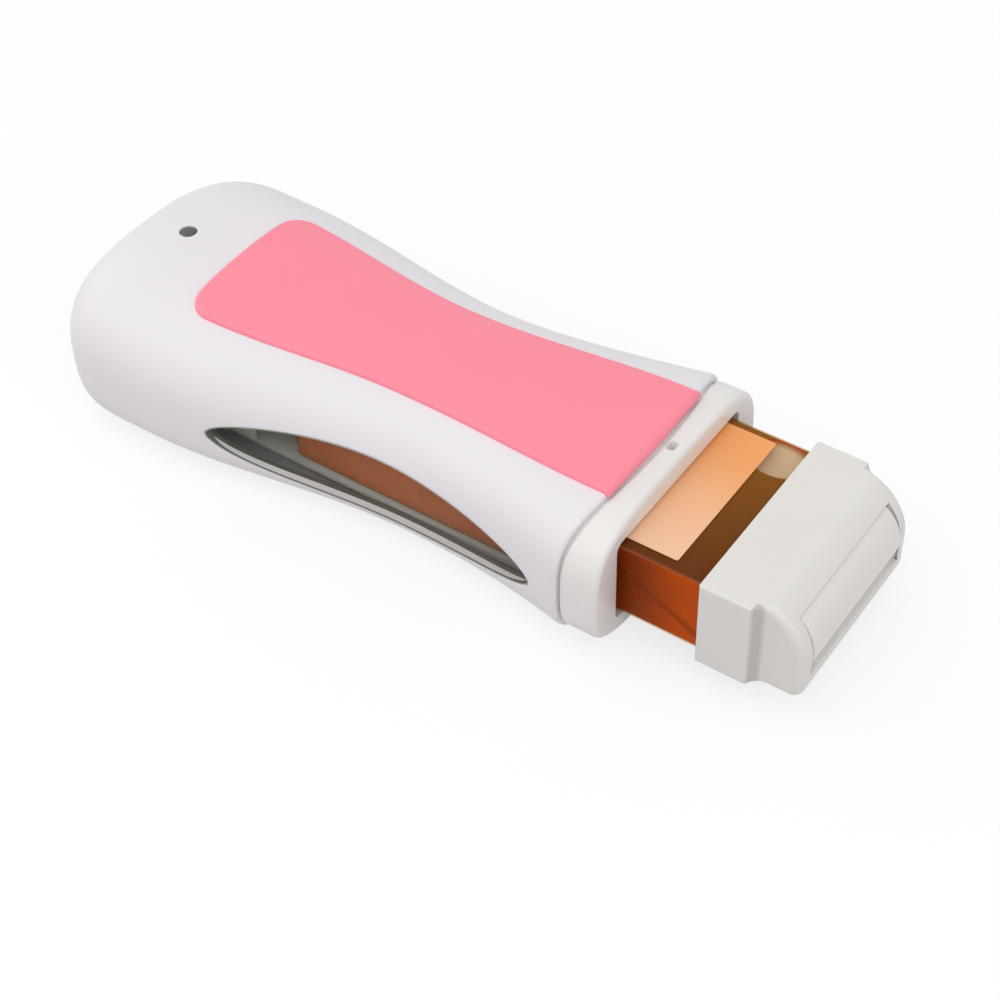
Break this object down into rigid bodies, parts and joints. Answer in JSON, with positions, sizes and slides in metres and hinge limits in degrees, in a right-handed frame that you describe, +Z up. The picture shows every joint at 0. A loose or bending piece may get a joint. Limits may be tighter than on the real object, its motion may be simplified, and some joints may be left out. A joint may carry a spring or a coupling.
{
  "type": "roll-on wax heater",
  "caption": "Waisted hand-held heater for roll-on wax with windowed flanks, a top panel, a rear inlet and a sliding cartridge with a free roller.",
  "frame": {"origin": "on the flat underside, below the middle of the housing", "axes": "+X from the rear of the housing to the roller, +Y across, +Z up from the surface it lies on"},
  "size_m": [0.2156, 0.077, 0.0417],
  "materials": {
    "shell": "glossy white moulding",
    "panel": "satin pink moulding",
    "window": "clear smoked acrylic",
    "chamber": "satin white moulding",
    "plate": "milled",
    "element": "matt",
    "steel": "plain",
    "board": "solder-masked laminate",
    "lamp": "clear red resin",
    "lens": "dark clear",
    "socket": "fine textured",
    "contacts": "plain",
    "leads": "soft sleeve",
    "bottle": "clear amber",
    "wax": "glassy resin wax",
    "label": "smooth printed",
    "head": "satin white moulding"
  },
  "bodies": {
    "housing": {"upper_shell": "shell", "lower_shell": "shell", "top_panel": "panel", "window_left": "window", "window_right": "window", "chamber_upper": "chamber", "chamber_lower": "chamber", "heater_plate": "plate", "ptc_heater": "element", "heater_clamp": "steel", "heater_screws": "steel", "thermostat": "steel", "thermal_fuse": "element", "cartridge_spring": "steel", "circuit_board": "board", "board_screws": "steel", "indicator_led": "lamp", "led_lens": "lens", "power_inlet": "socket", "inlet_pins": "contacts", "heater_wires": "leads", "board_wires": "leads", "shell_screws": "steel"},
    "cartridge": {"cartridge_bottle": "bottle", "wax_fill": "wax", "cartridge_label": "label", "roller_frame": "head"},
    "roller": {"roller": "head"}
  },
  "joints": [
    {"name": "cartridge_slide", "type": "slide", "parent": "housing", "child": "cartridge", "axis": [1, 0, 0], "range_m": [-0.0205, 0.095]},
    {"name": "roller_spin", "type": "hinge", "parent": "cartridge", "child": "roller", "pos_m": [0.1207, 0, 0.02045], "axis": [0, 1, 0], "continuous": true}
  ]
}
